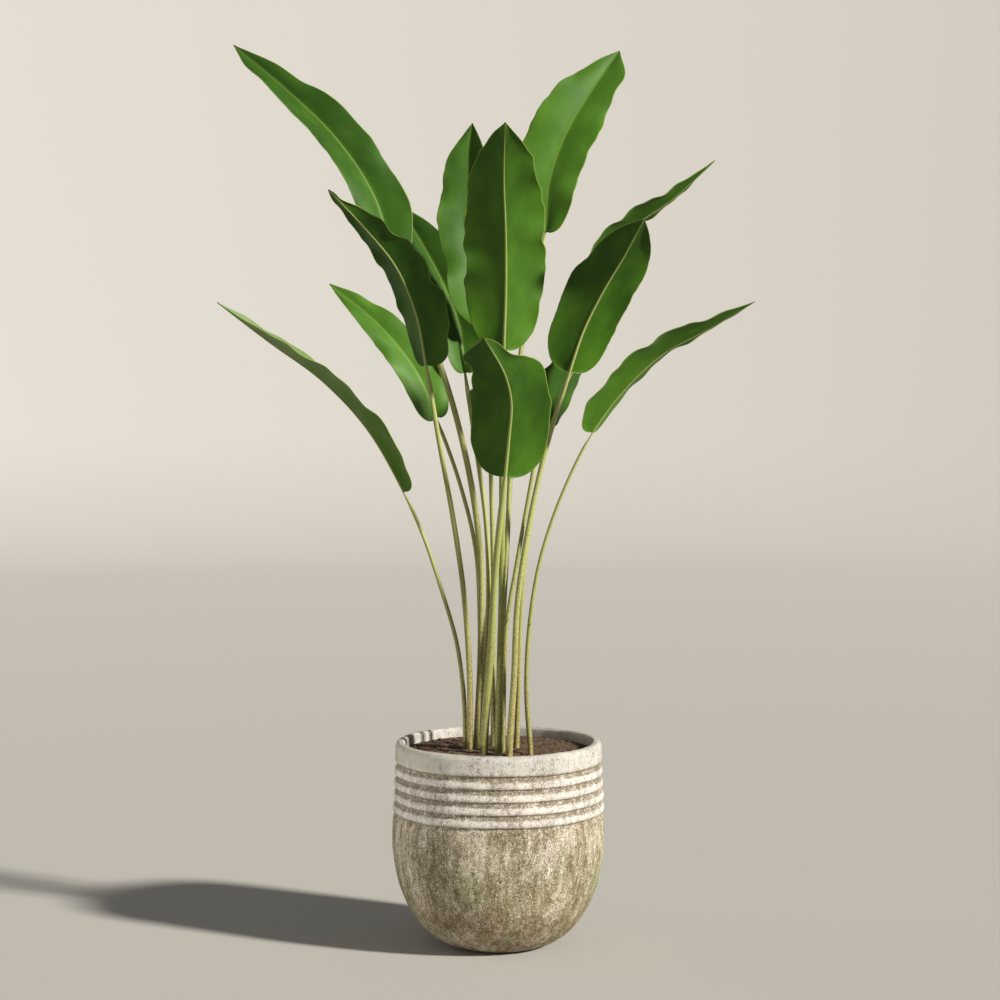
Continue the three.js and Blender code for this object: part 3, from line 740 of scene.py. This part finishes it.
def scatter_crumbs(bm):
    """Adds the loose lumps that lie on the soil, most of them small."""
    rng = random.Random(7)
    crumbs = bmesh.new()
    for _ in range(CRUMB_COUNT):
        angle = rng.uniform(0, 2 * math.pi)
        out = (MOUTH_RADIUS - 4) * math.sqrt(rng.random())
        size = mix(*CRUMB_SIZES, rng.random() ** 3)
        x, y = out * math.cos(angle), out * math.sin(angle)
        ground = soil_height(x, y) + crumble(x, y)
        shape = Matrix.Diagonal((rng.uniform(0.7, 1.4), rng.uniform(0.7, 1.2),
                                 rng.uniform(0.5, 0.9), 1))
        turn = Matrix.Rotation(rng.uniform(0, math.pi), 4, "Z")
        bmesh.ops.create_icosphere(crumbs, subdivisions=1, radius=size,
                                   matrix=Matrix.Translation((x, y, ground)) @ turn @ shape)
    loose = bpy.data.meshes.new("crumbs")
    crumbs.to_mesh(loose)
    crumbs.free()
    bm.from_mesh(loose)
    bpy.data.meshes.remove(loose)


def make_soil(earth):
    """The soil down to the pot's floor, with an uneven top and loose crumbs."""
    bm = bmesh.new()
    side = bowl(FLOOR_RADIUS - GAP, MOUTH_RADIUS - FLOOR_RADIUS, FLOOR_HEIGHT + GAP,
                BELLY_RISE - FLOOR_HEIGHT, start=0, end=90, steps=8)
    top = [((MOUTH_RADIUS - GAP) * (1 - ring / SOIL_RINGS), SOIL_EDGE)
           for ring in range(SOIL_RINGS + 1)]
    draw_outline(bm, [(0, FLOOR_HEIGHT + GAP), *side, *top])
    turn_round(bm, SOIL_STEPS)
    for vert in bm.verts:
        if abs(vert.co.z - SOIL_EDGE) < 0.01:
            vert.co.z = soil_height(vert.co.x, vert.co.y) + crumble(vert.co.x, vert.co.y)
    scatter_crumbs(bm)
    bmesh.ops.scale(bm, vec=(MM, MM, MM), verts=bm.verts)
    soil = piece_from(bm, "potting_earth", earth)
    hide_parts("soil")
    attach(soil, "root")


# ----------------------------------------------------------------------------- the leaves
def centripetal(before, start, end, after, share):
    """A point of the smooth curve from start to end that also heeds their neighbours."""
    first = (start - before).length ** 0.5
    middle = (end - start).length ** 0.5
    last = (after - end).length ** 0.5
    leave = (start - before) / first - (end - before) / (first + middle) + (end - start) / middle
    arrive = (end - start) / middle - (after - start) / (middle + last) + (after - end) / last
    leave *= middle
    arrive *= middle
    square, cube = share ** 2, share ** 3
    return (start + leave * share + (3 * (end - start) - 2 * leave - arrive) * square
            + (2 * (start - end) + leave + arrive) * cube)


class LeafLine:
    """The line of a leaf, from the buried end of the stalk to the tip, by arc length."""

    def __init__(self, leaf):
        x, y = leaf.foot
        ground = soil_height(x, y)
        before = [(x, y, ground - STALK_BURIED), (x, y, ground), *leaf.stalk]
        knots = [Vector(point) for point in (*before, leaf.base, *leaf.blade, leaf.tip)]
        knots = [2 * knots[0] - knots[1], *knots, 2 * knots[-1] - knots[-2]]
        self.points = [knots[1]]
        for place in range(1, len(knots) - 2):
            span = knots[place - 1:place + 3]
            for step in range(1, SPAN_STEPS + 1):
                self.points.append(centripetal(*span, step / SPAN_STEPS))
        self.lengths = [0.0]
        for a, b in zip(self.points, self.points[1:]):
            self.lengths.append(self.lengths[-1] + (b - a).length)
        self.ground = self.lengths[SPAN_STEPS]
        self.base = self.lengths[SPAN_STEPS * len(before)]
        self.total = self.lengths[-1]

    def point(self, distance):
        """The point at this length along the line."""
        place = clamp(bisect_right(self.lengths, distance) - 1, 0, len(self.points) - 2)
        start, end = self.lengths[place], self.lengths[place + 1]
        return self.points[place].lerp(self.points[place + 1], (distance - start) / (end - start))

    def frame(self, leaf, distance):
        """Where the line is, and its directions along, out of the upper face and across."""
        low, high = max(0, distance - FEEL), min(self.total, distance + FEEL)
        along = (self.point(high) - self.point(low)).normalized()
        on_blade = max(0, (distance - self.base) / (self.total - self.base))
        turn = math.radians(mix(*leaf.turn, on_blade))
        up = (FRONT - along * FRONT.dot(along)).normalized()
        up = Matrix.Rotation(turn, 3, along) @ up
        return self.point(distance), along, up, along.cross(up)


def rib_half_width(leaf, share):
    """Of the midrib, at `share` of the way from the blade's base to its tip."""
    return mix(leaf.radius[0] * RIB_SHARE, RIB_TIP, share)


def blade_half_width(leaf, share, side):
    """Of one side of the blade, without the waving: rounded base, tapering tip and flares."""
    rise = max(0, 1 - share / leaf.widest)
    fall = max(0, (share - leaf.widest) / (1 - leaf.widest))
    rounded = (1 - rise ** BASE_ROUNDNESS) ** (1 / BASE_ROUNDNESS)
    flare = sum(height * math.exp(-(((share - place) / spread) ** 2))
                for flare_side, place, height, spread in leaf.flares if flare_side == side)
    return leaf.half * rounded * (1 - fall ** leaf.taper) + flare


def calm_ends(share):
    """1 in the middle of the blade, falling off to the base and the tip."""
    return math.sin(math.pi * min(1, share * 0.94 + 0.06)) ** 0.6


def margin_wave(leaf, share, side):
    """The uneven waving of one margin, from about -1 to 1, calm at both ends."""
    turn = 2 * math.pi * leaf.waves * share
    long_wave = math.sin(turn + leaf.phase + side * 1.3)
    short_wave = math.sin(SHORT_WAVE_RATE * turn + 2.3 * leaf.phase - side * 0.7)
    return (long_wave * LONG_WAVE + short_wave * SHORT_WAVE) * calm_ends(share)


def margin_notches(leaf, share, side):
    """Finer unevenness of the margin's outline alone."""
    turn = 2 * math.pi * leaf.waves * share
    notches = math.sin(NOTCH_RATE * turn + 4.1 * leaf.phase + side * 2.1)
    fine_notches = noise.noise(Vector((share * 26, side * 3, leaf.phase * 5)))
    return (notches * NOTCH + fine_notches * FINE_NOTCH) * calm_ends(share)


def blade_side(leaf, share, side):
    """One side of the blade: its waving, its reach from the middle to the margin, the width
    of the flat strip over the midrib and the width beyond that strip."""
    narrowing = clamp((1 - share) / POINT_SHARE)
    strip = (rib_half_width(leaf, share) + STRIP_MARGIN) * mix(POINT_STRIP, 1, narrowing)
    ripple = margin_wave(leaf, share, side)
    uneven = ripple + margin_notches(leaf, share, side)
    reach = blade_half_width(leaf, share, side) * (1 + EDGE_WAVE * uneven)
    full = max(NARROWEST_SIDE * mix(POINT_SIDE, 1, narrowing), reach - strip)
    return ripple, reach, strip, full


def make_blade(name, leaf, line, finishes):
    """The blade as a folded, waving sheet, which is then given its thickness."""
    columns = STRIP_COLUMNS + SIDE_COLUMNS
    shares = [(row / BLADE_ROWS) ** ROW_CROWDING for row in range(BLADE_ROWS + 1)]
    frames = [line.frame(leaf, mix(line.base, line.total, share)) for share in shares]
    sides = {(row, side): blade_side(leaf, share, side)
             for row, share in enumerate(shares) for side in (-1, 1)}
    length = line.total - line.base
    fold = math.radians(leaf.fold)

    bm = bmesh.new()
    bmesh.ops.create_grid(bm, x_segments=2 * columns, y_segments=BLADE_ROWS, size=1)
    own = bm.verts.layers.float_vector.new("leaf_place")
    margin = bm.verts.layers.float.new("margin")
    shade = bm.verts.layers.float.new("tone")
    line_width = bm.verts.layers.float.new("line_width")
    dry_tip = bm.verts.layers.float.new("dry_tip")
    for vert in bm.verts:
        column = round(vert.co.x * columns)
        row = round((vert.co.y + 1) / 2 * BLADE_ROWS)
        share = shares[row]
        at, along, up, across = frames[row]
        side = -1 if column < 0 else 1
        step = abs(column)
        ripple, reach, strip, full = sides[row, side]
        if step <= STRIP_COLUMNS:
            flat, fraction = strip * step / STRIP_COLUMNS, 0
            dip = STRIP_DIP * (1 - step / STRIP_COLUMNS)
        else:
            flat, dip = strip, 0
            even = (step - STRIP_COLUMNS) / SIDE_COLUMNS
            fraction = 1 - (1 - even) ** COLUMN_CROWDING
        out = full * fraction
        swell = leaf.swell * ripple * fraction ** SWELL_REACH * min(1, reach / SWELL_WIDTH)
        bow = BOW * math.sin(math.pi * fraction) * min(1, reach / BOW_WIDTH)
        back = BASE_LOBE * fraction * max(0, 1 - share / leaf.widest) ** 2
        lobe = back * min(1, reach / leaf.half)
        vert.co = (at + across * (side * (flat + out * math.cos(fold)))
                   + up * (GAP + BLADE_THICKNESS / 2 + out * math.sin(fold) + swell + bow - dip)
                   - along * lobe)
        vert[own] = (side * (flat + out), share * length, 0)
        to_margin = (1 - fraction) * full + (strip - flat)
        vert[margin] = to_margin + 3 * (1 - min(1, full / EDGE_LINE_WIDTH))
        # Tone: the leaf's green with painted shade falling towards the tip.
        vert[shade] = leaf.tone + leaf.darkening * (0.5 - share)
        vert[dry_tip] = smooth_step(share, DRY_TIP, 1)
        vert[line_width] = LINE_WIDTH * clamp((LINE_END - share) / LINE_NARROWING) + 0.02
    bmesh.ops.scale(bm, vec=(MM, MM, MM), verts=bm.verts)
    blade = piece_from(bm, "leaf_" + name, *finishes)
    wall = blade.modifiers.new("thickness", "SOLIDIFY")
    wall.thickness = BLADE_THICKNESS * MM
    wall.offset = 0
    wall.material_offset = 1
    wall.material_offset_rim = 2
    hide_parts("blade_" + name)
    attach(blade, "root")


def make_stalk(name, leaf, line, tone, finish):
    """The stalk, which is round up to the blade and then hangs under it as its midrib."""
    bend = line.base - FLATTENING
    # Where along the leaf's line the sections stand.
    stations = [0.0, line.ground * 0.8]
    stations += [mix(line.ground, bend, step / STALK_STEPS) for step in range(STALK_STEPS)]
    stations += [mix(bend, line.base, step / FLATTENING_STEPS) for step in range(FLATTENING_STEPS)]
    end = line.total - RIB_SHORT
    stations += [mix(line.base, end, step / RIB_STEPS) for step in range(RIB_STEPS + 1)]
    sections = []
    for distance in stations:
        on_stalk = clamp(distance / line.base)
        on_blade = max(0, (distance - line.base) / (line.total - line.base))
        radius = mix(leaf.radius[1], leaf.radius[0], on_stalk ** STALK_TAPER)
        flat = smooth_step(distance, bend, line.base)
        rib = rib_half_width(leaf, on_blade)
        fade = clamp((1 - on_blade) / RIB_FADE) ** 0.7
        half = mix(radius, rib * mix(RIB_POINT, 1, fade), flat)
        upper = mix(radius, GAP, flat)
        lower = mix(radius, rib * 2 * RIB_DEPTH * fade, flat)
        sections.append((line.frame(leaf, distance), half, upper, lower, distance))

    bm = bmesh.new()
    bmesh.ops.create_grid(bm, x_segments=STALK_SIDES, y_segments=len(stations) - 1, size=1)
    own = bm.verts.layers.float_vector.new("stalk_place")
    rise = bm.verts.layers.float.new("rise")
    shade = bm.verts.layers.float.new("tone")
    for vert in bm.verts:
        angle = (vert.co.x + 1) * math.pi
        row = round((vert.co.y + 1) / 2 * (len(stations) - 1))
        (at, _, up, across), half, upper, lower, distance = sections[row]
        lift = math.sin(angle) * (upper if math.sin(angle) > 0 else lower)
        vert.co = at + across * (math.cos(angle) * half) + up * lift
        vert[own] = (math.cos(angle) * half, math.sin(angle) * half, distance)
        vert[rise] = (distance - line.ground) / (line.base - line.ground)
        vert[shade] = tone
    bmesh.ops.remove_doubles(bm, verts=bm.verts, dist=0.001)
    open_edges = [edge for edge in bm.edges if edge.is_boundary]
    bmesh.ops.holes_fill(bm, edges=open_edges, sides=0)
    bmesh.ops.recalc_face_normals(bm, faces=bm.faces)
    bmesh.ops.scale(bm, vec=(MM, MM, MM), verts=bm.verts)
    stalk = piece_from(bm, "petiole_" + name, finish)
    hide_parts("stalk_" + name)
    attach(stalk, "root")


# How green these stalks are, from 0 to 1; front_centre's full olive green also paints the shade
# its stalk lies in. The others are up to YELLOW_STALK, at random.
GREEN_STALKS = {"front_low": 0.6, "front_centre": 1, "back_right": 0.6, "far_right": 0.4}
YELLOW_STALK = 0.35


def make_leaves():
    """Every leaf's blade and stalk, all in the same finishes."""
    rng = random.Random(3)
    edge = paint(114, 134, 58)
    line = paint(104, 130, 52)
    # pale is the third green, reached mostly by far_left as painted sheen.
    pale = paint(112, 132, 82)
    upper = leaf_green("leaf_upper_face", paint(44, 76, 19), paint(70, 110, 28), pale, edge, line)
    under = leaf_green("leaf_under_face", paint(40, 72, 14), paint(68, 108, 22), pale, edge, line)
    rim = leaf_green("leaf_margin", edge, paint(132, 150, 70), pale, edge, edge)
    stalk_finish = speckled_stalk()
    for name, sizes in LEAVES.items():
        leaf = SimpleNamespace(**{"flares": (), "darkening": DARKENING, **sizes})
        leaf_line = LeafLine(leaf)
        make_blade(name, leaf, leaf_line, (upper, under, rim))
        green = GREEN_STALKS.get(name, YELLOW_STALK * rng.random())
        make_stalk(name, leaf, leaf_line, green, stalk_finish)


stand_camera()
lay_backdrop()
light_studio()
make_pot(weathered_stone())
make_soil(dark_soil())
make_leaves()
